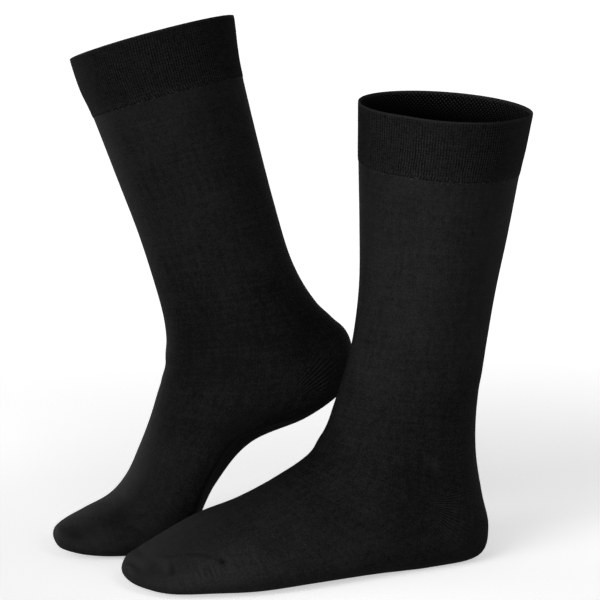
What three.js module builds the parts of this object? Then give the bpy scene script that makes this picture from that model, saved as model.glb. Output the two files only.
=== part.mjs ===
// A pair of knitted crew socks, filled out as if worn, with open cuffs and empty insides.
// Millimetres, +Z up, toes toward -X. The origin is the middle of the pair's bounding box, on the floor.
// The left sock stands flat. The right sock rests on its ball and toes with the heel raised.
import * as THREE from "three";

// Driving sizes
const wallThickness = 1.3;      // single jersey knit, as the form stretches it
const cuffThickness = 2.0;      // doubled rib welt
const cuffProud = 0.3;          // how far the welt stands out from the leg
const rimRound = 1.0;           // height of the rolled top edge
const seamGap = 0.4;            // space between two knitted pieces
const pointsRound = 32;         // points round each ring
const cornerPoint = 6;          // point round the ring where the heel pocket starts, counted from the front

// Where each knitted piece begins, counted in rows of the tables below
const cuffEnd = 2;
const heelCorner = 9.6;         // corner of the heel pocket on both sides of the ankle
const heelTop = 7.4;            // top of the heel pocket at the back of the ankle
const heelSole = 12.6;          // end of the heel pocket under the sole
const toeSide = 15.35;          // toe pocket at the sides and under the sole
const toeTop = 17.15;           // linked toe seam over the toes

// Outline of the rings that both socks share, from the rim to the tip of the toe.
// half: half the width. front, back: how square the front or top and the back or sole are (2 is an ellipse).
// belly: how far the widest line lies from the back or sole, as a share of the ring. arch: lift of the inner sole.
const rings = [
  // name            half  front  back  belly  arch
  ["rim",            52.0, 2.00,  2.00, 0.50,  0],
  ["cuff",           51.0, 2.00,  2.00, 0.50,  0],
  ["cuff base",      49.0, 2.00,  2.00, 0.50,  0],
  ["calf",           45.5, 2.00,  2.00, 0.50,  0],
  ["leg",            40.5, 2.00,  2.00, 0.50,  0],
  ["high ankle",     36.5, 2.00,  2.00, 0.48,  0],
  ["ankle",          34.0, 2.00,  2.05, 0.47,  0],
  ["low ankle",      34.5, 2.00,  2.10, 0.48,  0],
  ["heel top",       35.0, 2.00,  2.15, 0.50,  0],
  ["heel back",      35.5, 2.00,  2.20, 0.50,  0],
  ["heel bulge",     35.5, 2.00,  2.30, 0.50,  0],
  ["heel turn",      35.5, 2.00,  2.40, 0.50,  0],
  ["heel sole",      35.5, 2.00,  2.60, 0.46,  3],
  ["arch",           37.5, 2.00,  2.70, 0.42, 10],
  ["waist",          41.5, 2.00,  2.70, 0.36, 12],
  ["ball",           45.0, 2.05,  2.40, 0.34,  4],
  ["toe root",       42.0, 2.15,  2.20, 0.36,  0],
  ["toes",           35.0, 2.25,  2.15, 0.40,  0],
  ["toe end",        23.5, 2.20,  2.10, 0.48,  0],
  ["tip",             0.0, 2.00,  2.00, 0.50,  0],
];

// How each sock stands: where the front and the back of each ring lie, on the inside of the cloth.
// Distances run forward from the back of the heel (X) and up from the floor (Z).
// side: shift of the ring toward the little toe. roll: rise of the ring toward the little toe, in mm per mm.
const leftStance = [
  // frontX frontZ  backX  backZ  side   roll
  [ 96,   302.7,    -14, 299.7,   18.0, -0.107],
  [ 95,   284.3,    -11, 280.3,   16.0, -0.112],
  [ 94,     266,     -8,   262,   13.5, -0.11],
  [ 91,     225,     -3,   221,    8.5, -0.09],
  [ 90,     188,      2,   185,    5.0, -0.06],
  [   93,    158,      5,   156,    2.5,  -0.03],
  [   98,    135,      8,   130,    1.0,      0],
  [  106,    111,     12,   101,    0.0,      0],
  [113,      94,     12,    72,    0.0,  0],
  [  120,     84,      7,    43,    0.0,      0],
  [  127,     77,      2,    20,    0.0,      0],
  [  135,     72,      9,     2,    0.0,      0],
  [  145,     67,     44,    -2,    0.0,      0],
  [  158,     61,     85,    -1,    1.0,      0],
  [176,      53,    130,    -1,    0.0,  0],
  [196,      45,    172,    -2,   -4.0,  0],
  [  213,     35,    202,    -1,     -8,      0],
  [  232,   22.5,    228,     0,  -12.5,      0],
  [241.5,   13.5,  240.5,     3,  -15.5,      0],
  [247.5,    9.5,  247.5,   9.5,  -16.5,      0],
];
const rightStance = [
  // frontX frontZ  backX  backZ  side   roll
  [230.5,    326,    126,   351,   34.0,  -0.18],
  [  225,    306,  123.5,   331,   31.0,  -0.18],
  [  218,    288,    120,   312,   28.0,  -0.17],
  [204.5,    249,    111,   269,   20.0,  -0.15],
  [191.5,    212,  101.5,   229,   14.0,  -0.12],
  [  182,    180,     91,   192,   10.0,  -0.09],
  [  176,    156,   78.5,   167,    7.0,  -0.06],
  [  174,    139,     63, 149.5,    5.0,  -0.03],
  [  175,    127,     53,   140,    4.0,      0],
  [176,     117,     49,   128,    3.0,  0],
  [178,     109,     50,   113,    3.0,  0],
  [181,     101,     57,   100,    2.0,  0],
  [184,      91,     83,    82,    2.0,  0],
  [188,      79,    121,    66,    1.0,  0],
  [194,      64,    146,    38,    0.0,  0],
  [  202,   47.5,    171,    -2,   -3.0,      0],
  [  214,     33,    203,    -1,   -6.0,      0],
  [232.5,   24.5,    229,     0,  -10.0,      0],
  [  248,     18,    247,     4,  -14.0,      0],
  [255.5,     11,  255.5,    11,  -16.0,      0],
];

// Soft dips that the cloth keeps: row and place round the ring, depth, and reach along the foot and round it
const leftDips = [
  { row: 0, around: 0.10, depth: 2.2, reachRow: 1.8, reachAround: 0.045 },
  { row: 17.3, around: 0.10, depth: 2.0, reachRow: 0.35, reachAround: 0.05 },
];
const rightDips = [
  { row: 15.9, around: 0.86, depth: 1.5, reachRow: 0.35, reachAround: 0.05 },
];

// Where the two socks stand: the place of the left heel is the origin until the pair is centred
const rightHeel = { x: -7, y: 81, toeOut: THREE.MathUtils.degToRad(12) };

const clothBlack = { color: 0x17181b, roughness: 0.92, metalness: 0 };
const cuffBlack = { color: 0x131417, roughness: 0.9, metalness: 0 };

// A smooth line through one column of a table, read at any row
function columnReader(table, column) {
  const line = new THREE.CatmullRomCurve3(
    table.map((row, index) => new THREE.Vector3(index, row[column], 0)), false, "catmullrom", 0.5);
  const scratch = new THREE.Vector3();
  return (at) => line.getPoint(THREE.MathUtils.clamp(at / (table.length - 1), 0, 1), scratch).y;
}

// The inside surface of one sock. around runs 0 to 1 from the front over the little-toe side; row runs down the tables.
function makeSurface(stance, dips, mirror) {
  const [half, front, back, belly, arch] = [1, 2, 3, 4, 5].map((column) => columnReader(rings, column));
  const [frontX, frontZ, backX, backZ, side, roll] =
    [0, 1, 2, 3, 4, 5].map((column) => columnReader(stance, column));

  function bare(around, row) {
    const angle = around * 2 * Math.PI;
    const c = Math.cos(angle);
    const s = Math.sin(angle);
    const squareness = c > 0 ? front(row) : back(row);
    const along = Math.sign(c) * Math.abs(c) ** (2 / squareness);
    const across = Math.sign(s) * Math.abs(s) ** (2 / squareness);
    const share = belly(row);
    const reach = share + (along > 0 ? along * (1 - share) : along * share);
    const lift = Math.max(0, -c) * Math.max(0, -s) * 2;
    const x = THREE.MathUtils.lerp(backX(row), frontX(row), reach);
    const z = THREE.MathUtils.lerp(backZ(row), frontZ(row), reach);
    const y = across * half(row);
    return new THREE.Vector3(x, (y + side(row)) * mirror, z + y * roll(row) + lift ** 1.5 * arch(row));
  }

  function normal(around, row) {
    const r = THREE.MathUtils.clamp(row, 0.02, rings.length - 1.03);
    const alongRow = bare(around, r + 0.02).sub(bare(around, r - 0.02));
    const alongRing = bare(around + 0.004, r).sub(bare(around - 0.004, r));
    const out = alongRing.cross(alongRow).normalize();
    return out.multiplyScalar(-mirror);
  }

  function dipDepth(around, row) {
    let depth = 0;
    for (const dip of dips) {
      let turn = Math.abs(around - dip.around) % 1;
      turn = Math.min(turn, 1 - turn);
      const away = ((row - dip.row) / dip.reachRow) ** 2 + (turn / dip.reachAround) ** 2;
      depth += dip.depth * Math.exp(-away);
    }
    return depth;
  }

  // A point of the cloth, proud millimetres outside the inner surface, and never lower than floor
  function point(around, row, proud, floor) {
    const place = bare(around, row);
    place.addScaledVector(normal(around, row), proud - dipDepth(around, row));
    place.z = Math.max(place.z, floor);
    return place;
  }

  // How many rows make one millimetre here
  function rowsPerMillimetre(around, row) {
    const r = THREE.MathUtils.clamp(row, 0.05, rings.length - 1.05);
    return 0.1 / bare(around, r + 0.05).distanceTo(bare(around, r - 0.05));
  }

  return { point, normal, rowsPerMillimetre };
}

// Border between leg and foot over the instep, which opens into the heel pocket behind its corners.
// edge is -1 for the pocket's upper edge and 1 for its lower edge.
function heelBorder(index, edge) {
  const fromFront = Math.min(index, pointsRound - index);
  const t = (fromFront - cornerPoint) / (pointsRound / 2 - cornerPoint);
  if (t < 0) return heelCorner;
  const end = edge < 0 ? heelTop : heelSole;
  const opened = 0.1 + 0.9 * Math.sin(t * Math.PI / 2) ** 0.9;
  return THREE.MathUtils.lerp(heelCorner, end, opened);
}

// Front edge of the toe pocket: far forward over the toes, further back at the sides and under the sole
function toeBorder(index) {
  const angle = index / pointsRound * 2 * Math.PI;
  const onTop = Math.max(0, Math.cos(angle));
  return THREE.MathUtils.lerp(toeSide, toeTop, THREE.MathUtils.smoothstep(onTop, 0, 0.9));
}

// One knitted piece: a closed shell between two borders, from point first to point last round the rings.
// start and end give the border rows at each point. tip closes the far end in a point, roundTop rolls the near edge.
function shell(surface, options) {
  const { start, end, steps, proud = wallThickness, thickness = wallThickness } = options;
  const { first = 0, last = pointsRound, tip = false, roundTop = 0 } = options;
  const wholeRing = last - first === pointsRound;
  const count = wholeRing ? pointsRound : last - first + 1;
  const positions = [];
  const faces = [];

  const add = (place) => positions.push(place.x, place.y, place.z) / 3 - 1;

  // Half the seam gap in rows, wider where the border runs slantwise, so that the gap is the same across it
  function gapRows(border, index, row) {
    const around = index / pointsRound;
    const perMillimetre = surface.rowsPerMillimetre(around, row);
    const before = (index + pointsRound - 1) % pointsRound;
    const after = (index + 1) % pointsRound;
    const rise = Math.abs(border(after) - border(before)) / perMillimetre;
    const run = surface.point(before / pointsRound, row, 0, -9).distanceTo(surface.point(after / pointsRound, row, 0, -9));
    return seamGap / 2 * perMillimetre * Math.hypot(1, rise / run);
  }

  function ringPoints(step, layer) {
    const made = [];
    for (let i = 0; i < count; i += 1) {
      const index = (first + i) % pointsRound;
      const around = index / pointsRound;
      let from = start(index);
      let to = end(index);
      if (options.gapStart !== false) from += gapRows(start, index, from);
      if (!tip) to -= gapRows(end, index, to);
      const row = THREE.MathUtils.lerp(from, to, step);
      const outer = layer === "outer";
      made.push(add(surface.point(around, row, outer ? proud : proud - thickness, outer ? 0 : thickness)));
    }
    return made;
  }

  // Faces between two rings. Both edges of a seam are split along the same diagonal, so they stay parallel.
  function strip(lower, upper, otherDiagonal = false) {
    const turns = wholeRing ? count : count - 1;
    for (let i = 0; i < turns; i += 1) {
      const j = (i + 1) % count;
      if (otherDiagonal) faces.push(lower[i], upper[i], lower[j], upper[i], upper[j], lower[j]);
      else faces.push(lower[i], upper[i], upper[j], lower[i], upper[j], lower[j]);
    }
  }

  function fan(centre, ring, flip) {
    for (let i = 0; i < count; i += 1) {
      const j = (i + 1) % count;
      if (flip) faces.push(centre, ring[j], ring[i]);
      else faces.push(centre, ring[i], ring[j]);
    }
  }

  // The toe's last steps are closer together, so that the tip is round
  const stepAt = (k) => (tip ? 1 - (1 - k / steps) ** 1.6 : k / steps);
  const rows = tip ? steps : steps + 1;
  const outer = [];
  const inner = [];
  for (let k = 0; k < rows; k += 1) {
    outer.push(ringPoints(stepAt(k), "outer"));
    inner.push(ringPoints(stepAt(k), "inner"));
  }
  for (let k = 0; k + 1 < rows; k += 1) {
    strip(outer[k], outer[k + 1]);
    strip(inner[k + 1], inner[k]);
  }

  // Near edge, plain or rolled
  const edgeRings = [inner[0]];
  if (roundTop) {
    for (const share of [0.75, 0.5, 0.25]) {
      const ring = [];
      for (let i = 0; i < count; i += 1) {
        const read = (ringIndex, at) => new THREE.Vector3().fromArray(positions, ringIndex[at] * 3);
        const inPlace = read(inner[0], i);
        const outPlace = read(outer[0], i);
        const down = read(outer[1], i).sub(outPlace).normalize();
        const lift = roundTop * Math.sqrt(1 - (2 * share - 1) ** 2);
        ring.push(add(outPlace.lerp(inPlace, share).addScaledVector(down, -lift)));
      }
      edgeRings.push(ring);
    }
  }
  edgeRings.push(outer[0]);
  for (let k = 0; k + 1 < edgeRings.length; k += 1) strip(edgeRings[k], edgeRings[k + 1]);

  // Far edge, or the closed tip
  if (tip) {
    const lastRow = rings.length - 1;
    const inside = surface.point(0, lastRow, proud - thickness, 0);
    const outside = inside.clone().add(new THREE.Vector3(thickness, 0, 0));
    fan(add(outside), outer[rows - 1], true);
    fan(add(inside), inner[rows - 1], false);
  } else {
    strip(outer[rows - 1], inner[rows - 1], true);
  }

  // Side edges of a piece that doesn't run all the way round
  if (!wholeRing) {
    for (let k = 0; k + 1 < rows; k += 1) {
      const [a, b, c, d] = [outer[k][0], outer[k + 1][0], inner[k + 1][0], inner[k][0]];
      faces.push(a, c, b, a, d, c);
      const z = count - 1;
      const [e, f, g, h] = [outer[k][z], outer[k + 1][z], inner[k + 1][z], inner[k][z]];
      faces.push(e, f, g, e, g, h);
    }
  }

  const geometry = new THREE.BufferGeometry();
  geometry.setAttribute("position", new THREE.Float32BufferAttribute(positions, 3));
  geometry.setIndex(turnedOutward(positions, faces));
  geometry.computeVertexNormals();
  return geometry;
}

// Triangles of a closed body, turned so that they face out
function turnedOutward(positions, faces) {
  const [a, b, c] = [new THREE.Vector3(), new THREE.Vector3(), new THREE.Vector3()];
  let volume = 0;
  for (let i = 0; i < faces.length; i += 3) {
    a.fromArray(positions, faces[i] * 3);
    b.fromArray(positions, faces[i + 1] * 3);
    c.fromArray(positions, faces[i + 2] * 3);
    volume += a.dot(b.cross(c));
  }
  if (volume > 0) return faces;
  const turned = [];
  for (let i = 0; i < faces.length; i += 3) turned.push(faces[i], faces[i + 2], faces[i + 1]);
  return turned;
}

function makeSock(name, stance, dips, mirror) {
  const surface = makeSurface(stance, dips, mirror);
  const sock = new THREE.Group();
  const lastRow = rings.length - 1;

  function addPiece(piece, looks, options) {
    const mesh = new THREE.Mesh(shell(surface, options), new THREE.MeshStandardMaterial(looks));
    mesh.name = `${name}_${piece}`;
    sock.add(mesh);
  }

  addPiece("cuff", cuffBlack, {
    start: () => 0, end: () => cuffEnd, gapStart: false, steps: 4,
    proud: wallThickness + cuffProud, thickness: cuffThickness, roundTop: rimRound,
  });
  addPiece("leg", clothBlack, { start: () => cuffEnd, end: (i) => heelBorder(i, -1), steps: 8 });
  addPiece("heel", clothBlack, {
    start: (i) => heelBorder(i, -1), end: (i) => heelBorder(i, 1), steps: 8,
    first: cornerPoint, last: pointsRound - cornerPoint,
  });
  addPiece("foot", clothBlack, { start: (i) => heelBorder(i, 1), end: toeBorder, steps: 9 });
  addPiece("toe", clothBlack, { start: toeBorder, end: () => lastRow, steps: 8, tip: true });
  return sock;
}

const left = makeSock("left", leftStance, leftDips, 1);
left.rotation.z = Math.PI;

const right = makeSock("right", rightStance, rightDips, -1);
right.rotation.z = Math.PI - rightHeel.toeOut;
right.position.set(rightHeel.x, rightHeel.y, 0);

const pair = new THREE.Group();
pair.add(left, right);

// Move the pair so that the origin is the middle of its box, on the floor
const group = new THREE.Group();
group.add(pair);
group.updateMatrixWorld(true);
const box = new THREE.Box3().setFromObject(pair, true);
pair.position.set(-(box.min.x + box.max.x) / 2, -(box.min.y + box.max.y) / 2, -box.min.z);
group.updateMatrixWorld(true);

export default group;
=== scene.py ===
from math import pi, radians

import bpy
import numpy as np
from mathutils import Matrix, Vector


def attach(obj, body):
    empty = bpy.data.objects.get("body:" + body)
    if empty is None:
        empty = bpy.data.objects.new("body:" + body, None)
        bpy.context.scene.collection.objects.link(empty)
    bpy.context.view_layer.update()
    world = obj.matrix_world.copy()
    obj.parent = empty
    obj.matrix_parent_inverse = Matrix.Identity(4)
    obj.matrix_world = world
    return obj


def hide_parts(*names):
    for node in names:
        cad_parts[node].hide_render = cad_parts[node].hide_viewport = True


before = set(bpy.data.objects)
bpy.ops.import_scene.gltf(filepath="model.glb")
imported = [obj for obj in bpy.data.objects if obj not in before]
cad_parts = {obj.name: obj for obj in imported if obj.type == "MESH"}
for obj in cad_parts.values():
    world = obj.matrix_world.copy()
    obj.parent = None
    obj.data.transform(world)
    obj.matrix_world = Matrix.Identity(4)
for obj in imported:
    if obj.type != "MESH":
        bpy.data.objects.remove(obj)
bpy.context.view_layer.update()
print("frame loaded")

# The socks' form, in millimetres: the tables of the solids, with rounder edges of the soles
# half = half width across, front and back = roundness, belly = where the widest part lies, arch = lift inside
ringNames = ["half", "front", "back", "belly", "arch"]
ringTable = [
    [52, 2, 2, .5, 0],
    [51, 2, 2, .5, 0],
    [49, 2, 2, .5, 0],
    [45.5, 2, 2, .5, 0],
    [40.5, 2, 2, .5, 0],
    [36.5, 2, 2, .48, 0],
    [34, 2, 2.05, .47, 0],
    [34.5, 2, 2.1, .48, 0],
    [35, 2, 2.15, .5, 0],
    [35.5, 2, 2.2, .5, 0],
    [35.5, 2, 2.3, .5, 0],
    [35.5, 2, 2.4, .5, 0],
    [35.5, 2, 2.4, .46, 3],
    [37.5, 2, 2.3, .42, 10],
    [41.5, 2, 2.25, .36, 12],
    [45, 2.05, 2.2, .34, 4],
    [42, 2.15, 2.2, .36, 0],
    [35, 2.25, 2.15, .4, 0],
    [23.5, 2.2, 2.1, .48, 0],
    [0, 2, 2, .5, 0],
]
stanceNames = ["frontX", "frontZ", "backX", "backZ", "side", "roll"]
leftStance = [
    [96, 302.7, -14, 299.7, 18, -.107],
    [95, 284.3, -11, 280.3, 16, -.112],
    [94, 266, -8, 262, 13.5, -.11],
    [91, 225, -3, 221, 8.5, -.09],
    [90, 188, 2, 185, 5, -.06],
    [93, 158, 5, 156, 2.5, -.03],
    [98, 135, 8, 130, 1, 0],
    [106, 111, 12, 101, 0, 0],
    [113, 94, 12, 72, 0, 0],
    [120, 84, 7, 43, 0, 0],
    [127, 77, 2, 20, 0, 0],
    [135, 72, 9, 2, 0, 0],
    [145, 67, 44, -2, 0, 0],
    [158, 61, 85, -1, 1, 0],
    [176, 53, 130, -1, 0, 0],
    [196, 45, 172, -2, -4, 0],
    [213, 35, 202, -1, -8, 0],
    [232, 22.5, 228, 0, -12.5, 0],
    [241.5, 13.5, 240.5, 3, -15.5, 0],
    [247.5, 9.5, 247.5, 9.5, -16.5, 0],
]
rightStance = [
    [230.5, 326, 126, 351, 34, -.18],
    [225, 306, 123.5, 331, 31, -.18],
    [218, 288, 120, 312, 28, -.17],
    [204.5, 249, 111, 269, 20, -.15],
    [191.5, 212, 101.5, 229, 14, -.12],
    [182, 180, 91, 192, 10, -.09],
    [176, 156, 78.5, 167, 7, -.06],
    [174, 139, 63, 149.5, 5, -.03],
    [175, 127, 53, 140, 4, 0],
    [176, 117, 49, 128, 3, 0],
    [178, 109, 50, 113, 3, 0],
    [181, 101, 57, 100, 2, 0],
    [184, 91, 83, 82, 2, 0],
    [188, 79, 121, 66, 1, 0],
    [194, 64, 146, 38, 0, 0],
    [202, 47.5, 171, -2, -3, 0],
    [214, 33, 203, -1, -6, 0],
    [232.5, 24.5, 229, 0, -10, 0],
    [248, 18, 247, 4, -14, 0],
    [255.5, 11, 255.5, 11, -16, 0],
]
lastRow = len(ringTable) - 1
rings = dict(zip(ringNames, np.array(ringTable, float).T))

# soft dips, or swellings with a depth below 0: row, around, depth, reach down the rows, reach round
leftDips = [
    [0, .10, 2.2, 1.8, .045],
    [0, .34, 1.6, 1.2, .045],
    [.8, .51, 1.7, .6, .06],
    [17.3, .10, 2.0, .35, .05],
    [17.7, .87, -1.8, .6, .12],
]
rightDips = [
    [0, 0, -1.7, 1.4, .11],
    [0, .5, -1.4, 1.2, .11],
    [15.9, .86, 1.5, .35, .05],
]

# around 0 = front and top, 0.25 = little toe side, 0.5 = back and sole, 0.75 = inner side
left = {
    "name": "left",
    "stance": dict(zip(stanceNames, np.array(leftStance, float).T)),
    "mirror": 1,
    "turn": pi,
    "move": (122.97, -66.65),
    "dips": leftDips,
    "looseLoops": [(.118, .015, 1), (.20, .035, .75), (.60, .03, .7), (.86, .03, .7)],
    # lighter where the foot stretches the knit, with painted shade on the lower leg and ankle
    "stretchShadeTones": [-.02, -.06, -.26, -.36, -.15, .03, .26, .36],
    "fan": (72, 50),
    "striped": (.275, 9.9),
}
right = {
    "name": "right",
    "stance": dict(zip(stanceNames, np.array(rightStance, float).T)),
    "mirror": -1,
    "turn": pi - radians(12),
    "move": (115.97, 14.35),
    "dips": rightDips,
    "looseLoops": [(.90, .03, .9), (.82, .05, .8), (.74, .04, .7), (.30, .03, .7)],
    # lighter where the foot stretches the knit, with deeper painted shade on the lower leg, where the left
    # sock would shade it
    "stretchShadeTones": [-.04, -.24, -.42, -.42, -.24, -.02, .25, .35],
    "fan": (114, 91),
    "striped": (.33, 9.9),
}


def readColumn(values, at):
    # smooth curve through the numbers of one column
    count = len(values)
    at = np.clip(at, 0, count - 1)
    before = np.minimum(np.floor(at).astype(int), count - 2)
    part = at - before
    here = values[before]
    there = values[before + 1]
    previous = np.where(before > 0, values[np.maximum(before - 1, 0)], 2 * here - there)
    following = np.where(before + 2 < count, values[np.minimum(before + 2, count - 1)], 2 * there - here)
    leave = (there - previous) / 2
    arrive = (following - here) / 2
    rise = there - here
    bend = (3 * rise - 2 * leave - arrive) * part**2
    return here + leave * part + bend + (leave + arrive - 2 * rise) * part**3


def innerFace(sock, around, row):
    # a point on the inside of the cloth, in the sock's own directions
    ring = {name: readColumn(rings[name], row) for name in ringNames}
    stance = {name: readColumn(sock["stance"][name], row) for name in stanceNames}
    cosine = np.cos(2 * pi * around)
    sine = np.sin(2 * pi * around)
    roundness = np.where(cosine > 0, ring["front"], ring["back"])
    along = np.sign(cosine) * np.abs(cosine) ** (2 / roundness)
    across = np.sign(sine) * np.abs(sine) ** (2 / roundness)
    reach = ring["belly"] + np.where(along > 0, along * (1 - ring["belly"]), along * ring["belly"])
    lift = 2 * np.maximum(0, -cosine) * np.maximum(0, -sine)
    y = across * ring["half"]
    x = stance["backX"] + (stance["frontX"] - stance["backX"]) * reach
    z = stance["backZ"] + (stance["frontZ"] - stance["backZ"]) * reach + y * stance["roll"]
    return np.stack([x, (y + stance["side"]) * sock["mirror"], z + lift**1.5 * ring["arch"]], -1)


def outward(sock, around, row):
    # direction out of the cloth
    row = np.clip(row, .02, lastRow - .03)
    down = innerFace(sock, around, row + .02) - innerFace(sock, around, row - .02)
    sideways = innerFace(sock, around + .004, row) - innerFace(sock, around - .004, row)
    direction = np.cross(sideways, down) * -sock["mirror"]
    return direction / np.linalg.norm(direction, axis=-1, keepdims=True)


def clothAt(sock, around, row, proud):
    # a point of the cloth, proud millimetres outside its inner face
    sunk = 0
    for dipRow, dipAround, depth, reachRow, reachAround in sock["dips"]:
        turn = np.abs((around - dipAround + .5) % 1 - .5)
        sunk = sunk + depth * np.exp(-((row - dipRow) / reachRow) ** 2 - (turn / reachAround) ** 2)
    return innerFace(sock, around, row) + outward(sock, around, row) * (proud - sunk)[..., None]


def upward(sock, around, row):
    # direction along the cloth toward the rim
    row = np.clip(row, .02, lastRow - .03)
    direction = innerFace(sock, around, row - .02) - innerFace(sock, around, row + .02)
    return direction / np.linalg.norm(direction, axis=-1, keepdims=True)


def placed(sock, points):
    # turns and moves points in millimetres to where the sock stands, in metres
    turned = Matrix.Rotation(sock["turn"], 3, "Z")
    points = points @ np.array(turned).T
    points = points + np.array([sock["move"][0], sock["move"][1], 0])
    return points * .001


def courseLength(sock):
    # mean length of cloth down the sides, from the rim to each row
    rows = np.linspace(0, lastRow, 761)
    around = np.array([.08, .16, .25, .75, .84, .92])
    points = innerFace(sock, around[None, :], rows[:, None])
    steps = np.linalg.norm(np.diff(points, axis=0), axis=-1).mean(1)
    return rows, np.concatenate([[0], np.cumsum(steps)])


def pick(piece):
    bpy.ops.object.select_all(action="DESELECT")
    piece.select_set(True)
    bpy.context.view_layer.objects.active = piece


def gridOf(name, columns, rows):
    # a flat grid: x becomes the way round, y the way down
    bpy.ops.object.select_all(action="DESELECT")
    bpy.ops.mesh.primitive_grid_add(x_subdivisions=columns, y_subdivisions=rows, size=1)
    piece = bpy.context.object
    piece.name = name
    piece.data.name = name
    flat = np.empty(len(piece.data.vertices) * 3)
    piece.data.vertices.foreach_get("co", flat)
    flat = flat.reshape(-1, 3)
    return piece, flat[:, 0] + .5, .5 - flat[:, 1]


def shapeTo(piece, points):
    piece.data.vertices.foreach_set("co", np.ascontiguousarray(points, dtype=float).ravel())
    piece.data.update()


def writeKnit(piece, wale, course):
    # UV map in stitches: u counts wales, v counts courses
    corners = np.empty(len(piece.data.loops), int)
    piece.data.loops.foreach_get("vertex_index", corners)
    knit = piece.data.uv_layers[0]
    knit.name = "knit"
    knit.data.foreach_set("uv", np.stack([wale[corners], course[corners]], -1).ravel())


def writeNumber(piece, name, values):
    number = piece.data.attributes.new(name, "FLOAT", "POINT")
    number.data.foreach_set("value", np.ascontiguousarray(values, dtype=float))


def closeSeam(piece):
    # joins the two edges of the grid and turns every face outward
    pick(piece)
    bpy.ops.object.mode_set(mode="EDIT")
    bpy.ops.mesh.select_all(action="SELECT")
    bpy.ops.mesh.remove_doubles(threshold=.00001)
    bpy.ops.mesh.normals_make_consistent(inside=False)
    bpy.ops.object.mode_set(mode="OBJECT")
    bpy.ops.object.shade_smooth()


def soften(distance, width):
    return np.exp(-(distance / width) ** 2)


# Creases and soft forms of the knitted tube: places are (around, row), width and height in millimetres,
# dark = how much painted shade is laid along the fold; below 0 the fold is painted lighter instead
leftCreases = [
    {"path": [(.176, 15.75), (.144, 16.0), (.122, 16.2), (.08, 16.7), (.03, 17.0)],
     "width": .9, "height": -.5, "dark": .8},
    {"path": [(.183, 15.68), (.178, 15.74), (.172, 15.8)],
     "width": 1.5, "height": -.8, "dark": 2.2},
    {"path": [(.165, 15.9), (.14, 16.2), (.105, 16.7)], "width": 1.8, "height": .22, "dark": 0},
    {"path": [(-.175, 15.6), (-.14, 16.0), (-.09, 16.6), (-.03, 17.0)],
     "width": .9, "height": -.45, "dark": .7},
    {"path": [(.108, 16.85), (.14, 16.95), (.178, 17.08)],
     "width": 1.4, "height": -.7, "dark": 1.1},
    {"path": [(.178, 16.2), (.20, 16.25), (.224, 16.31)], "width": 1.2, "height": -.3, "dark": .4},
    {"path": [(.194, 15.8), (.21, 15.85), (.232, 15.9)], "width": 1.2, "height": -.3, "dark": .4},
    {"path": [(.87, 17.0), (.92, 17.25), (1.0, 17.35)], "width": 3.2, "height": -.6, "dark": .8},
    {"path": [(-.03, 17.7), (.03, 17.75), (.10, 17.9)], "width": 3.5, "height": .3, "dark": 0},
    {"path": [(-.06, 7.7), (.02, 8.0), (.10, 8.1)], "width": 4.5, "height": -.5, "dark": .2},
    {"path": [(-.09, 8.5), (0, 8.9), (.07, 8.9)], "width": 4.0, "height": .45, "dark": 0},
    {"path": [(-.08, 9.4), (.01, 9.7), (.12, 9.4)], "width": 5.0, "height": -.4, "dark": .2},
    {"path": [(-.24, 8.1), (-.31, 8.5), (-.36, 9.1)], "width": 3.6, "height": -.45, "dark": .2},
    {"path": [(.255, 8.25), (.267, 8.4), (.275, 8.55)], "width": 2.4, "height": .3, "dark": -1.1},
    {"path": [(.40, 6.4), (.5, 6.6), (.58, 6.3)], "width": 6.0, "height": -.4, "dark": .2},
]
rightCreases = [
    {"path": [(1.08, 17.9), (1.02, 17.75), (.944, 17.05), (.864, 16.3), (.806, 15.8), (.764, 15.6)],
     "width": .9, "height": -.5, "dark": .9},
    {"path": [(.93, 17.25), (.86, 16.65), (.80, 16.1)], "width": 1.9, "height": .22, "dark": 0},
    {"path": [(1.175, 15.6), (1.13, 16.1), (1.07, 16.8), (1.03, 17.5)],
     "width": .9, "height": -.45, "dark": .7},
    {"path": [(.956, 18.0), (.88, 17.7), (.80, 17.75)], "width": 4.6, "height": -1.0, "dark": 1.0},
    # the lit rim along the tips of the toes is a painted highlight
    {"path": [(1.06, 18.2), (.95, 18.45), (.80, 18.5), (.62, 18.5)],
     "width": 2.4, "height": .3, "dark": -1.3},
    {"path": [(1.008, 16.5), (.97, 16.3), (.939, 16.2)], "width": 1.5, "height": -.45, "dark": .6},
    {"path": [(1.02, 16.25), (.985, 16.05), (.95, 15.95)], "width": 1.5, "height": .4, "dark": -.4},
    {"path": [(1.03, 16.0), (.99, 15.8), (.947, 15.7)], "width": 1.6, "height": -.4, "dark": .5},
    {"path": [(.90, 16.05), (.865, 15.6), (.836, 15.2)], "width": 1.8, "height": -.4, "dark": .3},
    {"path": [(1.08, 8.2), (1.0, 8.6), (.93, 8.5)], "width": 4.5, "height": -.5, "dark": .2},
    {"path": [(1.07, 9.3), (1.0, 9.7), (.94, 9.6)], "width": 4.5, "height": .4, "dark": 0},
    {"path": [(.80, 7.95), (.76, 8.1), (.717, 8.35)], "width": 2.6, "height": .35, "dark": -.5},
    {"path": [(1.24, 8.2), (1.31, 8.7), (1.35, 9.5)], "width": 3.6, "height": -.4, "dark": .2},
    {"path": [(.44, 6.3), (.52, 6.5), (.60, 6.2)], "width": 6.0, "height": -.5, "dark": .2},
    {"path": [(.30, 14.0), (.34, 13.4), (.37, 12.6)], "width": 5.0, "height": -.5, "dark": .2},
    # a broad soft bevel under the inner arch, with painted shade along it
    {"path": [(.66, 11.8), (.67, 12.8), (.68, 13.8), (.69, 15.0)],
     "width": 15, "height": -.8, "dark": .8},
]


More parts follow.
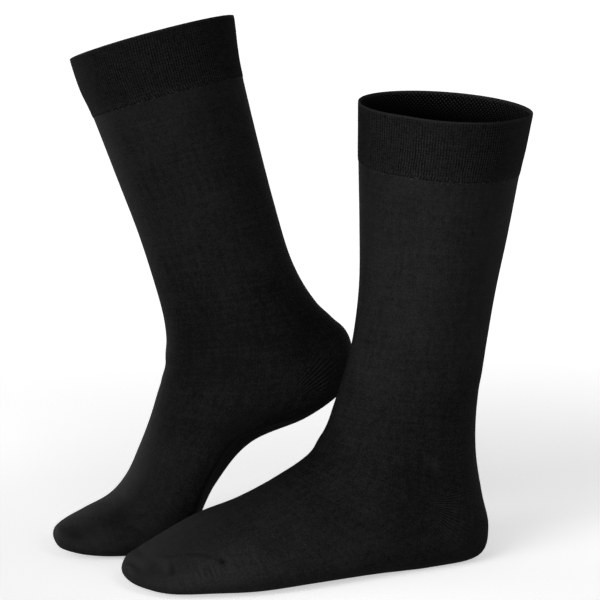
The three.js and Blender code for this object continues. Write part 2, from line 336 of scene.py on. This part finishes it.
def creaseForms(sock, around, row, points, creases):
    # height of the folds at every point, and how much painted shade they lay on the cloth (painted lighter
    # below 0)
    height = np.zeros(len(around))
    dark = np.zeros(len(around))
    for crease in creases:
        path = np.array(crease["path"], float)
        at = np.linspace(0, len(path) - 1, 24)
        pathPoints = innerFace(sock, readColumn(path[:, 0], at), readColumn(path[:, 1], at))
        apart = np.linalg.norm(points[:, None, :] - pathPoints[None, :, :], axis=-1)
        nearest = apart.argmin(1)
        fade = np.sin(pi * np.clip((nearest + 1) / 25, 0, 1)) ** .5
        height += crease["height"] * fade * soften(apart.min(1), crease["width"])
        dark += crease["dark"] * fade * soften(apart.min(1), crease["width"])
    return height, dark


knitBody = {
    "columns": 184,
    "rows": 216,
    "topRow": 1.94,
    "thickness": 1.3,
    "needles": 190,
    "courseStep": 1.15,
    "crowding": .6,
    "stripesPerRadian": 18,
    "toePlump": 1.7,
    "plumpRow": 18.55,
    "plumpRows": .42,
    "toneRows": [2, 5, 7, 9, 13, 15.5, 17, 19],
    "flat": (.20, .46),
}


# where the turned heel lies: rows down and turns from the front
heelForm = {
    "goreTurn": .25,
    "goreReach": .14,
    "topRow": 8.5,
    "topRise": .9,
    "bottomRow": 10.6,
    "bottomDrop": 1.9,
    "rowBorder": 1.1,
    "sideTurn": .245,
    "sideBorder": .05,
    "stripedTurns": .045,
    "stripedRows": 1.1,
}
# the short stitches under the end of the toe seam, on the little toe's side
toeStitches = {
    "around": .205,
    "turns": .02,
    "row": 16.3,
    "rows": .55,
    "strength": .6,
    "perRow": 8.5,
    "firstRow": 14,
}


def fromFront(around):
    # turns away from the front of the sock, either way round
    return np.abs((around + .5) % 1 - .5)


def heelPocket(around, row):
    # 1 inside the turned heel, 0 outside it, with a soft border
    away = fromFront(around)
    deep = np.clip((away - heelForm["goreTurn"]) / heelForm["goreReach"], 0, 1)
    upper = heelForm["topRow"] - heelForm["topRise"] * deep
    lower = heelForm["bottomRow"] + heelForm["bottomDrop"] * deep**.6
    inside = np.minimum(row - upper, lower - row)
    rowsIn = np.clip(inside / heelForm["rowBorder"], 0, 1)
    turnIn = np.clip((away - heelForm["sideTurn"]) / heelForm["sideBorder"], 0, 1)
    return rowsIn * turnIn * rowsIn * (3 - 2 * rowsIn)


def buildBody(sock, creases):
    body, around, down = gridOf(sock["name"] + "_body", knitBody["columns"], knitBody["rows"])
    rows, lengths = courseLength(sock)
    start = np.interp(knitBody["topRow"], rows, lengths)
    # the rows lie closer together toward the toe
    crowding = knitBody["crowding"]
    at = start + (lengths[-1] - start) * ((1 + crowding) * down - crowding * down**2)
    row = np.interp(at, lengths, rows)
    inside = innerFace(sock, around, row)
    out = outward(sock, around, row)
    height, dark = creaseForms(sock, around, row, inside, creases)
    closing = np.clip((lastRow - row) / .25, 0, 1)
    # the toe is blunt
    atTip = soften(row - knitBody["plumpRow"], knitBody["plumpRows"])
    plump = knitBody["toePlump"] * atTip * (.3 + .7 * closing)
    points = clothAt(sock, around, row, knitBody["thickness"] + height * closing + plump)
    points[row > lastRow - .001] = inside[row > lastRow - .001][0] + out[row > lastRow - .001].mean(0) * 1.2
    points[:, 2] = np.maximum(points[:, 2], 0)
    pocket = heelPocket(around, row)
    fanX, fanZ = sock["fan"]
    stripe = np.arctan2(points[:, 2] - fanZ, fanX - points[:, 0]) * knitBody["stripesPerRadian"]
    # the courses of the pocket show as stripes beside its gore only
    away = fromFront(around)
    stripedAway, stripedRow = sock["striped"]
    writeNumber(body, "pocket", pocket)
    besideGore = soften(away - stripedAway, heelForm["stripedTurns"])
    striped = besideGore * soften(row - stripedRow, heelForm["stripedRows"])
    atSide = soften(around - toeStitches["around"], toeStitches["turns"])
    striped += toeStitches["strength"] * atSide * soften(row - toeStitches["row"], toeStitches["rows"])
    stripe = np.where(row > toeStitches["firstRow"], row * toeStitches["perRow"], stripe)
    writeNumber(body, "striped", striped)
    writeNumber(body, "stripe", stripe)
    # painted shade along the creases, painted lighter where a crease's dark is below 0
    writeNumber(body, "fold_shading", dark)
    # the knit looks lighter where the foot would stretch it, and painted shade darkens the lower legs and
    # ankles, the right sock's most, where the left sock would shade it
    writeNumber(body, "stretch_and_shade", np.interp(row, knitBody["toneRows"], sock["stretchShadeTones"]))
    writeKnit(body, around * knitBody["needles"], at / knitBody["courseStep"])
    shapeTo(body, placed(sock, points))
    closeSeam(body)
    wall = body.modifiers.new("wall", "SOLIDIFY")
    wall.thickness = knitBody["thickness"] * .001
    wall.offset = -1
    bpy.ops.object.modifier_apply(modifier="wall")
    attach(body, "root")
    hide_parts(*[sock["name"] + part for part in ("_leg", "_heel", "_foot", "_toe")])
    print(body.name, len(body.data.polygons), "faces")
    return body


ribbedCuff = {
    "ribs": 190,
    "samplesRound": 380,
    "outerRows": 66,
    "rimRows": 8,
    "innerRows": 60,
    "bottomRow": 2.0,
    "outside": 1.6,
    "inside": -.4,
    "rimInside": .45,
    "rimLift": .8,
    "thinRows": .35,
    "ribHeight": .15,
    "ribShare": .6,
    "courseShare": .4,
    "meshShare": 1.3,
    "fadeTop": .12,
    "fadeBottom": .05,
    "ribRows": 21,
    "flat": (.20, .08),
}


def buildCuff(sock):
    # the doubled welt: outer face up, over the rolled rim, inner face down and back to the start
    total = ribbedCuff["outerRows"] + ribbedCuff["rimRows"] + ribbedCuff["innerRows"] + 2
    cuff, around, down = gridOf(sock["name"] + "_welt", ribbedCuff["samplesRound"], total)
    step = np.rint(down * total)
    outerEnd = ribbedCuff["outerRows"]
    rimEnd = outerEnd + ribbedCuff["rimRows"]
    innerEnd = rimEnd + ribbedCuff["innerRows"]
    bottom = ribbedCuff["bottomRow"]
    row = np.where(step <= outerEnd, bottom * (1 - step / outerEnd), 0)
    row = np.where(step > rimEnd, bottom * (step - rimEnd) / ribbedCuff["innerRows"], row)
    row = np.where(step > innerEnd, bottom, row)
    rimAngle = np.clip((step - outerEnd) / ribbedCuff["rimRows"], 0, 1) * pi
    # the welt thins toward its rim
    thin = np.clip(1 - row / ribbedCuff["thinRows"], 0, 1) ** 2
    innerLevel = ribbedCuff["inside"] + (ribbedCuff["rimInside"] - ribbedCuff["inside"]) * thin
    middle = (ribbedCuff["outside"] + innerLevel) / 2
    radius = (ribbedCuff["outside"] - innerLevel) / 2
    level = middle + radius * np.cos(rimAngle)
    afterInner = np.clip((step - innerEnd) / 2, 0, 1)
    level = level + afterInner * 2 * radius
    rise = radius * np.sin(rimAngle)
    # 1x1 rib outside, open diamond mesh inside, both fading at the rolled rim and the lower edge
    rib = np.cos(2 * pi * ribbedCuff["ribs"] * around)
    course = np.cos(2 * pi * ribbedCuff["ribRows"] * row / bottom)
    stagger = rib * course
    fadeDown = np.clip((bottom - row) / ribbedCuff["fadeBottom"], 0, 1)
    fade = np.clip(row / ribbedCuff["fadeTop"], 0, 1) * fadeDown
    ribs = rib * ribbedCuff["ribShare"] + course * ribbedCuff["courseShare"]
    outerRelief = ribs * ribbedCuff["ribHeight"] * fade
    innerRelief = -stagger * ribbedCuff["ribHeight"] * ribbedCuff["meshShare"] * fade
    level = level + np.where(step <= outerEnd, outerRelief, 0) + np.where(step >= rimEnd, innerRelief, 0)
    rise = rise + ribbedCuff["rimLift"] * soften(row, .8)
    points = clothAt(sock, around, row, level) + upward(sock, around, row) * rise[:, None]
    writeNumber(cuff, "within", np.clip((step - outerEnd - 4) / 2, 0, 1))
    writeNumber(cuff, "depth", np.clip(row / bottom, 0, 1))
    writeKnit(cuff, around * ribbedCuff["ribs"], row * ribbedCuff["ribRows"] / bottom)
    shapeTo(cuff, placed(sock, points))
    closeSeam(cuff)
    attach(cuff, "root")
    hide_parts(sock["name"] + "_cuff")
    print(cuff.name, len(cuff.data.polygons), "faces")
    return cuff


# One small loop of yarn, copied round the lower edge of the welt and along the toe seam
yarnLoop = {
    "thick": .2,
    "long": 1.15,
    "wide": .5,
    "cuffLoops": 250,
    "sparse": .14,
    "cuffRow": 2.02,
    "cuffProud": 1.55,
    "seamLoops": 92,
    "seamProud": .85,
}


def buildLoop():
    bpy.ops.object.select_all(action="DESELECT")
    bpy.ops.mesh.primitive_torus_add(
        major_segments=8,
        minor_segments=4,
        major_radius=yarnLoop["wide"] * .001,
        minor_radius=yarnLoop["thick"] * .001,
    )
    loop = bpy.context.object
    loop.name = "yarn_loop"
    bpy.ops.object.mode_set(mode="EDIT")
    bpy.ops.mesh.select_all(action="SELECT")
    bpy.ops.transform.resize(value=(yarnLoop["long"] / yarnLoop["wide"] / 2, .8, .8))
    bpy.ops.object.mode_set(mode="OBJECT")
    bpy.ops.object.shade_smooth()
    return loop


def copyLoops(loop, name, points, alongs, outs, slant, sizes):
    copies = []
    for point, along, out, turn, size in zip(points, alongs, outs, slant, sizes):
        copy = loop.copy()
        copy.data = loop.data.copy()
        bpy.context.collection.objects.link(copy)
        side = np.cross(out, along)
        long = along * np.cos(turn) + side * np.sin(turn)
        wide = np.cross(out, long)
        place = Matrix.Identity(4)
        for axis, direction in enumerate((long, wide, out)):
            for part in range(3):
                place[part][axis] = direction[part] * size
        for part in range(3):
            place[part][3] = point[part]
        copy.data.transform(place)
        copies.append(copy)
    bpy.ops.object.select_all(action="DESELECT")
    for copy in copies:
        copy.select_set(True)
    bpy.context.view_layer.objects.active = copies[0]
    bpy.ops.object.join()
    row = bpy.context.object
    row.name = name
    row.data.name = name
    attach(row, "root")
    return row


def unitOf(vectors):
    return vectors / np.linalg.norm(vectors, axis=-1, keepdims=True)


def turnedOnly(sock, vectors):
    return vectors @ np.array(Matrix.Rotation(sock["turn"], 3, "Z")).T


def buildEdgeLoops(sock, loop, seed):
    # the light loops that show where the welt is joined to the leg: close together in a few places only
    uneven = np.random.default_rng(seed)
    shifts = uneven.uniform(-.3, .3, yarnLoop["cuffLoops"])
    around = (np.arange(yarnLoop["cuffLoops"]) + shifts) / yarnLoop["cuffLoops"]
    shown = np.full(len(around), yarnLoop["sparse"])
    for middle, reach, share in sock["looseLoops"]:
        shown = np.maximum(shown, share * soften(np.abs((around - middle + .5) % 1 - .5), reach))
    around = around[uneven.uniform(0, 1, len(around)) < shown]
    count = len(around)
    row = np.full(count, yarnLoop["cuffRow"]) + uneven.uniform(-.05, .03, count)
    out = outward(sock, around, row)
    points = clothAt(sock, around, row, np.full(count, yarnLoop["cuffProud"]))
    alongs = unitOf(innerFace(sock, around + .002, row) - innerFace(sock, around - .002, row))
    return copyLoops(
        loop,
        sock["name"] + "_edge_loops",
        placed(sock, points),
        turnedOnly(sock, alongs),
        turnedOnly(sock, out),
        uneven.uniform(.3, .8, count) * sock["mirror"],
        uneven.uniform(.4, 1.0, count),
    )


def buildToeSeam(sock, loop, path, seed):
    # the linked seam over the toes
    uneven = np.random.default_rng(seed)
    count = yarnLoop["seamLoops"]
    path = np.array(path, float)
    at = np.linspace(0, len(path) - 1, count)
    around = readColumn(path[:, 0], at)
    row = readColumn(path[:, 1], at)
    out = outward(sock, around, row)
    points = clothAt(sock, around, row, np.full(count, yarnLoop["seamProud"]))
    alongs = unitOf(np.gradient(points, axis=0))
    return copyLoops(
        loop,
        sock["name"] + "_toe_seam",
        placed(sock, points),
        turnedOnly(sock, alongs),
        turnedOnly(sock, out),
        np.full(count, .5) * sock["mirror"],
        uneven.uniform(.7, .9, count),
    )


leftSeam = [
    (.175, 15.6), (.147, 15.95), (.122, 16.25), (.08, 16.75), (.03, 17.05),
    (-.03, 17.05), (-.09, 16.65), (-.14, 16.1), (-.175, 15.6),
]
rightSeam = [
    (.767, 15.6), (.817, 16.0), (.878, 16.45), (.93, 16.95), (.98, 17.22),
    (1.03, 17.15), (1.09, 16.65), (1.14, 16.1), (1.18, 15.6),
]


# Fabric looks
jersey = {
    "dark": (.0019, .0019, .0020, 1),
    "light": (.0139, .0139, .0142, 1),
    "roughness": .62,
    "specular": .035,
    "sheen": .004,
    "sheenRoughness": .5,
    "stitchDepth": .00016,
    "fibreDepth": .00008,
}
ribKnit = {
    "dark": (.0006, .0006, .0007, 1),
    "light": (.0132, .0132, .0135, 1),
    "insideDarkAndShade": (.0001, .0001, .0001, 1),
    "insideLightAndHighlight": (.0300, .0300, .0306, 1),
    "roughness": .7,
    "specular": .03,
    "sheen": .004,
    "sheenRoughness": .5,
    "stitchDepth": .00016,
    "fibreDepth": .00008,
}
# how fine each uneven pattern is: a higher number is finer
noiseScales = {
    "patches": 22,
    "clouds": 30,
    "clear": 55,
    "worn": 75,
    "loopPatches": 130,
    "specks": 260,
    "ribGrain": 800,
    "grain": 950,
    "fibre": 1500,
    "loopFibre": 3000,
}
# how strongly each pattern lightens or darkens the yarn, and how strongly the painted shade of the folds and
# the painted highlight of the rim do
jerseyTones = {
    "clouds": .45,
    "specks": .4,
    "grain": 1.15,
    "wales": .4,
    "courses": .4,
    "stitches": .35,
    "ribs": .16,
    "stripes": .8,
    "pocket": .14,
    "fold_shading": -.34,
}
ribTones = {
    "ribs": .85,
    "rows": .35,
    "stitches": .5,
    "slanting": .5,
    "grain": 1.3,
    "specks": .4,
    # painted highlight on the rolled rim
    "rim": .6,
}
loopYarn = {
    "dark": (.006, .006, .0062, 1),
    "light": (.042, .042, .043, 1),
    "roughness": .8,
    "specular": .15,
    "sheen": .02,
    "sheenRoughness": .4,
    "fibreDepth": .00003,
}


def clothMaterial(name, look):
    material = bpy.data.materials.new(name)
    material.use_nodes = True
    tree = material.node_tree
    shader = tree.nodes["Principled BSDF"]
    shader.inputs["Roughness"].default_value = look["roughness"]
    shader.inputs["Specular IOR Level"].default_value = look["specular"]
    shader.inputs["Sheen Weight"].default_value = look["sheen"]
    shader.inputs["Sheen Roughness"].default_value = look["sheenRoughness"]
    material.diffuse_color = look["light"]
    return material, tree, shader


def mathNode(tree, operation, first, second=None, third=None):
    node = tree.nodes.new("ShaderNodeMath")
    node.operation = operation
    for socket, value in zip(node.inputs, (first, second, third)):
        if value is None:
            continue
        if hasattr(value, "is_linked"):
            tree.links.new(value, socket)
        else:
            socket.default_value = value
    return node.outputs[0]


def noiseOf(tree, vector, scale, detail):
    noise = tree.nodes.new("ShaderNodeTexNoise")
    noise.inputs["Scale"].default_value = scale
    noise.inputs["Detail"].default_value = detail
    tree.links.new(vector, noise.inputs["Vector"])
    return noise.outputs["Fac"]


def colourOf(tree, amount, dark, light):
    ramp = tree.nodes.new("ShaderNodeValToRGB")
    ramp.color_ramp.elements[0].color = dark
    ramp.color_ramp.elements[1].color = light
    tree.links.new(amount, ramp.inputs["Fac"])
    return ramp.outputs["Color"]


def bumpOf(tree, height, distance, strength, under=None):
    bump = tree.nodes.new("ShaderNodeBump")
    bump.inputs["Distance"].default_value = distance
    bump.inputs["Strength"].default_value = strength
    tree.links.new(height, bump.inputs["Height"])
    if under is not None:
        tree.links.new(under, bump.inputs["Normal"])
    return bump.outputs["Normal"]


def stretched(tree, knit, wide, long):
    # the UV map in stitches, scaled so that a noise runs along wales or courses
    scaled = tree.nodes.new("ShaderNodeMapping")
    scaled.inputs["Scale"].default_value = (wide, long, 1)
    tree.links.new(knit, scaled.inputs["Vector"])
    return scaled.outputs["Vector"]


def added(tree, parts):
    # adds up (height, weight) pairs
    total = None
    for height, weight in parts:
        total = mathNode(tree, "MULTIPLY_ADD", height, weight, total if total is not None else 0)
    return total


def knitPlace(tree):
    knit = tree.nodes.new("ShaderNodeUVMap")
    knit.uv_map = "knit"
    split = tree.nodes.new("ShaderNodeSeparateXYZ")
    tree.links.new(knit.outputs["UV"], split.inputs[0])
    return knit.outputs["UV"], split.outputs["X"], split.outputs["Y"]


def stitchHeight(tree, across, down):
    # two slanted legs of yarn in every wale
    wale = mathNode(tree, "FRACT", across)
    fromMiddle = mathNode(tree, "ABSOLUTE", mathNode(tree, "SUBTRACT", wale, .5))
    slanted = mathNode(tree, "SUBTRACT", down, mathNode(tree, "MULTIPLY", fromMiddle, 1.3))
    leg = mathNode(tree, "SINE", mathNode(tree, "MULTIPLY", slanted, 2 * pi))
    groove = mathNode(tree, "SINE", mathNode(tree, "MULTIPLY", wale, pi))
    legs = mathNode(tree, "MULTIPLY_ADD", leg, .28, .5)
    return mathNode(tree, "MULTIPLY", legs, mathNode(tree, "MULTIPLY_ADD", groove, .6, .4))


def waveOf(tree, count, turns):
    # 0 in the grooves, 1 on the ridges
    wave = mathNode(tree, "COSINE", mathNode(tree, "MULTIPLY", count, turns * 2 * pi))
    return mathNode(tree, "MULTIPLY_ADD", wave, .5, .5)


def numberOf(tree, name):
    number = tree.nodes.new("ShaderNodeAttribute")
    number.attribute_name = name
    return number.outputs["Fac"]


def fromMean(tree, wave, mean, amount):
    # how far a wave stands above its mean, scaled by another number
    return mathNode(tree, "MULTIPLY", mathNode(tree, "SUBTRACT", wave, mean), amount)


def jerseyMaterial():
    material, tree, shader = clothMaterial("black jersey", jersey)
    place = tree.nodes.new("ShaderNodeTexCoord").outputs["Object"]
    knit, across, down = knitPlace(tree)
    stitches = stitchHeight(tree, across, down)
    fibre = noiseOf(tree, place, noiseScales["fibre"], 3)
    patches = mathNode(tree, "MULTIPLY_ADD", noiseOf(tree, place, noiseScales["patches"], 2), 4, -1.7)
    patches = mathNode(tree, "MAXIMUM", mathNode(tree, "MINIMUM", patches, 1), 0)
    worn = mathNode(tree, "MULTIPLY_ADD", noiseOf(tree, place, noiseScales["worn"], 1), 5, -1.5)
    worn = mathNode(tree, "MAXIMUM", mathNode(tree, "MINIMUM", worn, 1), .1)
    striped = mathNode(tree, "MULTIPLY", numberOf(tree, "striped"), worn)
    stripes = fromMean(tree, waveOf(tree, numberOf(tree, "stripe"), .9), .5, striped)
    tone = added(tree, [
        (fromMean(tree, noiseOf(tree, place, noiseScales["clouds"], 3), .5, 1), jerseyTones["clouds"]),
        (fromMean(tree, noiseOf(tree, place, noiseScales["specks"], 2), .5, 1), jerseyTones["specks"]),
        (fromMean(tree, noiseOf(tree, place, noiseScales["grain"], 2), .5, 1), jerseyTones["grain"]),
        (fromMean(tree, noiseOf(tree, stretched(tree, knit, .5, .05), 1, 2), .5, 1), jerseyTones["wales"]),
        (fromMean(tree, noiseOf(tree, stretched(tree, knit, .04, .55), 1, 2), .5, 1), jerseyTones["courses"]),
        (fromMean(tree, stitches, .35, 1), jerseyTones["stitches"]),
        (fromMean(tree, waveOf(tree, across, 1), .5, patches), jerseyTones["ribs"]),
        (stripes, jerseyTones["stripes"]),
        (numberOf(tree, "pocket"), jerseyTones["pocket"]),
        # painted shade and painted lightening along the creases
        (numberOf(tree, "fold_shading"), jerseyTones["fold_shading"]),
        # lighter where stretched, with painted shade on the lower legs and ankles
        (numberOf(tree, "stretch_and_shade"), 1),
    ])
    tone = mathNode(tree, "ADD", tone, .5)
    tree.links.new(colourOf(tree, tone, jersey["dark"], jersey["light"]), shader.inputs["Base Color"])
    fine = bumpOf(tree, fibre, jersey["fibreDepth"], 1)
    tree.links.new(bumpOf(tree, stitches, jersey["stitchDepth"], 1, fine), shader.inputs["Normal"])
    return material


def ribMaterial():
    material, tree, shader = clothMaterial("black rib knit", ribKnit)
    place = tree.nodes.new("ShaderNodeTexCoord").outputs["Object"]
    knit, across, down = knitPlace(tree)
    # the ribs and rows wander a little
    wander = noiseOf(tree, stretched(tree, knit, .22, .3), 1, 2)
    across = mathNode(tree, "MULTIPLY_ADD", fromMean(tree, wander, .5, 1), .7, across)
    wanderDown = noiseOf(tree, stretched(tree, knit, .3, .16), 1.1, 2)
    down = mathNode(tree, "MULTIPLY_ADD", fromMean(tree, wanderDown, .5, 1), 1.4, down)
    stitches = stitchHeight(tree, across, down)
    fibre = noiseOf(tree, place, noiseScales["fibre"], 3)
    grain = noiseOf(tree, place, noiseScales["ribGrain"], 3)
    clear = mathNode(tree, "MULTIPLY_ADD", noiseOf(tree, place, noiseScales["clear"], 2), 2.2, -.45)
    clear = mathNode(tree, "MAXIMUM", mathNode(tree, "MINIMUM", clear, 1), .3)
    # larger slanting stitches where the welt is joined to the leg, and a painted highlight along the rolled
    # rim
    edge = mathNode(tree, "MULTIPLY_ADD", numberOf(tree, "depth"), 14, -12.6)
    edge = mathNode(tree, "MAXIMUM", mathNode(tree, "MINIMUM", edge, 1), 0)
    slanting = mathNode(tree, "MULTIPLY_ADD", down, .5, mathNode(tree, "MULTIPLY", across, .8))
    rimHighlight = mathNode(tree, "MULTIPLY_ADD", numberOf(tree, "depth"), -30, 1)
    outside = added(tree, [
        (fromMean(tree, waveOf(tree, across, 1), .5, clear), ribTones["ribs"]),
        (fromMean(tree, waveOf(tree, down, 1), .5, clear), ribTones["rows"]),
        (fromMean(tree, stitches, .35, clear), ribTones["stitches"]),
        (fromMean(tree, waveOf(tree, slanting, 1), .35, edge), ribTones["slanting"]),
        (fromMean(tree, grain, .5, 1), ribTones["grain"]),
        (fromMean(tree, noiseOf(tree, place, noiseScales["specks"], 2), .5, 1), ribTones["specks"]),
        (mathNode(tree, "MAXIMUM", rimHighlight, 0), ribTones["rim"]),
    ])
    outside = mathNode(tree, "ADD", outside, .38)
    slantA = waveOf(tree, mathNode(tree, "ADD", across, down), .7)
    slantB = waveOf(tree, mathNode(tree, "SUBTRACT", across, down), .7)
    mesh = mathNode(tree, "MULTIPLY", slantA, slantB)
    # painted shade: the inside mesh fades to its darkest colour deeper down the welt
    deep = mathNode(tree, "MAXIMUM", mathNode(tree, "MULTIPLY_ADD", numberOf(tree, "depth"), -2.3, 1), 0)
    inside = mathNode(tree, "SUBTRACT", added(tree, [(mesh, 1.9), (grain, .35)]), .56)
    inside = mathNode(tree, "MULTIPLY", inside, deep)
    # a painted highlight: a lighter band just inside the rim, where light would fall on the far inner wall
    rimBandHighlight = mathNode(tree, "MAXIMUM", mathNode(tree, "MULTIPLY_ADD", numberOf(tree, "depth"), -16, 1), 0)
    inside = mathNode(tree, "MULTIPLY_ADD", rimBandHighlight, .9, inside)
    turned = tree.nodes.new("ShaderNodeMix")
    turned.data_type = "RGBA"
    tree.links.new(numberOf(tree, "within"), turned.inputs[0])
    tree.links.new(colourOf(tree, outside, ribKnit["dark"], ribKnit["light"]), turned.inputs[6])
    tree.links.new(colourOf(tree, inside, ribKnit["insideDarkAndShade"], ribKnit["insideLightAndHighlight"]), turned.inputs[7])
    tree.links.new(turned.outputs[2], shader.inputs["Base Color"])
    fine = bumpOf(tree, fibre, ribKnit["fibreDepth"], 1)
    tree.links.new(bumpOf(tree, stitches, ribKnit["stitchDepth"], 1, fine), shader.inputs["Normal"])
    return material


def yarnMaterial():
    material, tree, shader = clothMaterial("loop yarn", loopYarn)
    place = tree.nodes.new("ShaderNodeTexCoord").outputs["Object"]
    patches = noiseOf(tree, place, noiseScales["loopPatches"], 2)
    fibre = noiseOf(tree, place, noiseScales["loopFibre"], 2)
    tree.links.new(colourOf(tree, patches, loopYarn["dark"], loopYarn["light"]), shader.inputs["Base Color"])
    tree.links.new(bumpOf(tree, fibre, loopYarn["fibreDepth"], 1), shader.inputs["Normal"])
    return material


def dress(piece, material):
    piece.data.materials.clear()
    piece.data.materials.append(material)


jerseyCloth = jerseyMaterial()
ribCloth = ribMaterial()
looseYarn = yarnMaterial()
smallLoop = buildLoop()
for sock, creases, seam, seed in ((left, leftCreases, leftSeam, 3), (right, rightCreases, rightSeam, 5)):
    body = buildBody(sock, creases)
    dress(body, jerseyCloth)
    cuff = buildCuff(sock)
    dress(cuff, ribCloth)
    edgeLoops = buildEdgeLoops(sock, smallLoop, seed)
    dress(edgeLoops, looseYarn)
    toeSeam = buildToeSeam(sock, smallLoop, seam, seed + 10)
    dress(toeSeam, jerseyCloth)
bpy.data.objects.remove(smallLoop, do_unlink=True)
print("socks built")

# Floor, light and camera
studio = {
    "floor": (.93, .93, .93, 1),
    "floorGlow": .50,
    "farGlow": .75,
    "glowFrom": .25,
    "glowTo": .9,
    "sky": 1.05,
    "zenith": .10,
    "underside": .12,
    "fromRight": .52,
    "fromBehind": .18,
    "keyPower": 1.3,
    "keySoftness": 34,
    "keyAzimuth": -64,
    "keyHeight": 23,
    "cameraPlace": (-.72665, -1.59855, .4636),
    "cameraTilt": 80.5,
    "cameraTurn": -25,
    "lens": 161.2,
    "boxes": [
        {"place": (-.081, -.248, .22), "aim": (.05, -.075, .18), "size": (.14, .18), "power": .19},
        {"place": (-.16, -.42, .015), "aim": (-.03, -.09, .01), "size": (.50, .03), "power": 1.0},
        {"place": (-.326, .483, .10), "aim": (-.06, .02, .06), "size": (.25, .20), "power": .35},
        {"place": (.316, -.083, .16), "aim": (.10, -.08, .12), "size": (.10, .30), "power": .075},
    ],
}

bpy.ops.object.select_all(action="DESELECT")
bpy.ops.mesh.primitive_plane_add(size=60, location=(0, 0, -.0003))
floor = bpy.context.object
floor.name = "floor"
floorPaint = bpy.data.materials.new("pale floor")
floorPaint.use_nodes = True
floorShader = floorPaint.node_tree.nodes["Principled BSDF"]
floorShader.inputs["Base Color"].default_value = studio["floor"]
floorShader.inputs["Roughness"].default_value = .9
floorShader.inputs["Specular IOR Level"].default_value = .1
floorShader.inputs["Emission Color"].default_value = (1, 1, 1, 1)
floorTree = floorPaint.node_tree
floorPlace = floorTree.nodes.new("ShaderNodeTexCoord").outputs["Object"]
farther = floorTree.nodes.new("ShaderNodeVectorMath")
farther.operation = "LENGTH"
floorTree.links.new(floorPlace, farther.inputs[0])
glow = floorTree.nodes.new("ShaderNodeMapRange")
glow.inputs["From Min"].default_value = studio["glowFrom"]
glow.inputs["From Max"].default_value = studio["glowTo"]
glow.inputs["To Min"].default_value = studio["floorGlow"]
glow.inputs["To Max"].default_value = studio["farGlow"]
floorTree.links.new(farther.outputs["Value"], glow.inputs["Value"])
floorTree.links.new(glow.outputs["Result"], floorShader.inputs["Emission Strength"])
dress(floor, floorPaint)
# the floor throws no light back up at the cloth
floor.visible_diffuse = False
floor.visible_glossy = False

# white sky, brightest round the horizon, from the left and the front, dim overhead and below the floor
world = bpy.data.worlds.new("studio")
bpy.context.scene.world = world
world.use_nodes = True
sky = world.node_tree
skyPlace = sky.nodes.new("ShaderNodeTexCoord").outputs["Generated"]
skySplit = sky.nodes.new("ShaderNodeSeparateXYZ")
sky.links.new(skyPlace, skySplit.inputs[0])


def skyStep(low, high, lowValue, highValue):
    step = sky.nodes.new("ShaderNodeMapRange")
    step.interpolation_type = "SMOOTHSTEP"
    step.inputs["From Min"].default_value = low
    step.inputs["From Max"].default_value = high
    step.inputs["To Min"].default_value = lowValue
    step.inputs["To Max"].default_value = highValue
    sky.links.new(skySplit.outputs["Z"], step.inputs["Value"])
    return step.outputs["Result"]


def skySide(direction):
    side = sky.nodes.new("ShaderNodeVectorMath")
    side.operation = "DOT_PRODUCT"
    side.inputs[1].default_value = direction
    sky.links.new(skyPlace, side.inputs[0])
    return side.outputs["Value"]


sideways = mathNode(sky, "MULTIPLY_ADD", skySide((.906, -.423, 0)), -studio["fromRight"], 1)
sideways = mathNode(sky, "MULTIPLY_ADD", skySide((.423, .906, 0)), -studio["fromBehind"], sideways)
towardZenith = skyStep(0, .6, 1, studio["zenith"])
fromBelow = skyStep(-.35, .08, studio["underside"], studio["sky"])
upper = mathNode(sky, "MULTIPLY", towardZenith, fromBelow)
sky.links.new(mathNode(sky, "MULTIPLY", upper, sideways), sky.nodes["Background"].inputs["Strength"])
sky.nodes["Background"].inputs["Color"].default_value = (1, 1, 1, 1)

bpy.ops.object.light_add(
    type="SUN",
    location=(-1, -1, 1.5),
    rotation=(radians(90 - studio["keyHeight"]), 0, radians(studio["keyAzimuth"])),
)
key = bpy.context.object
key.name = "key light"
key.data.energy = studio["keyPower"]
key.data.angle = radians(studio["keySoftness"])

# softboxes: before the left leg, low before the toes, behind to the left, and beside the left leg
for number, look in enumerate(studio["boxes"]):
    place = Vector(look["place"])
    turn = (Vector(look["aim"]) - place).to_track_quat("-Z", "Y").to_euler()
    bpy.ops.object.light_add(type="AREA", location=place, rotation=turn)
    box = bpy.context.object
    box.name = "softbox %d" % (number + 1)
    box.data.shape = "RECTANGLE"
    box.data.size = look["size"][0]
    box.data.size_y = look["size"][1]
    box.data.energy = look["power"]
    box.visible_camera = False

bpy.ops.object.camera_add(
    location=studio["cameraPlace"],
    rotation=(radians(studio["cameraTilt"]), 0, radians(studio["cameraTurn"])),
)
camera = bpy.context.object
camera.data.lens = studio["lens"]
camera.data.sensor_width = 36
camera.data.clip_end = 100
bpy.context.scene.camera = camera
bpy.context.scene.view_settings.view_transform = "Standard"
print("studio ready")
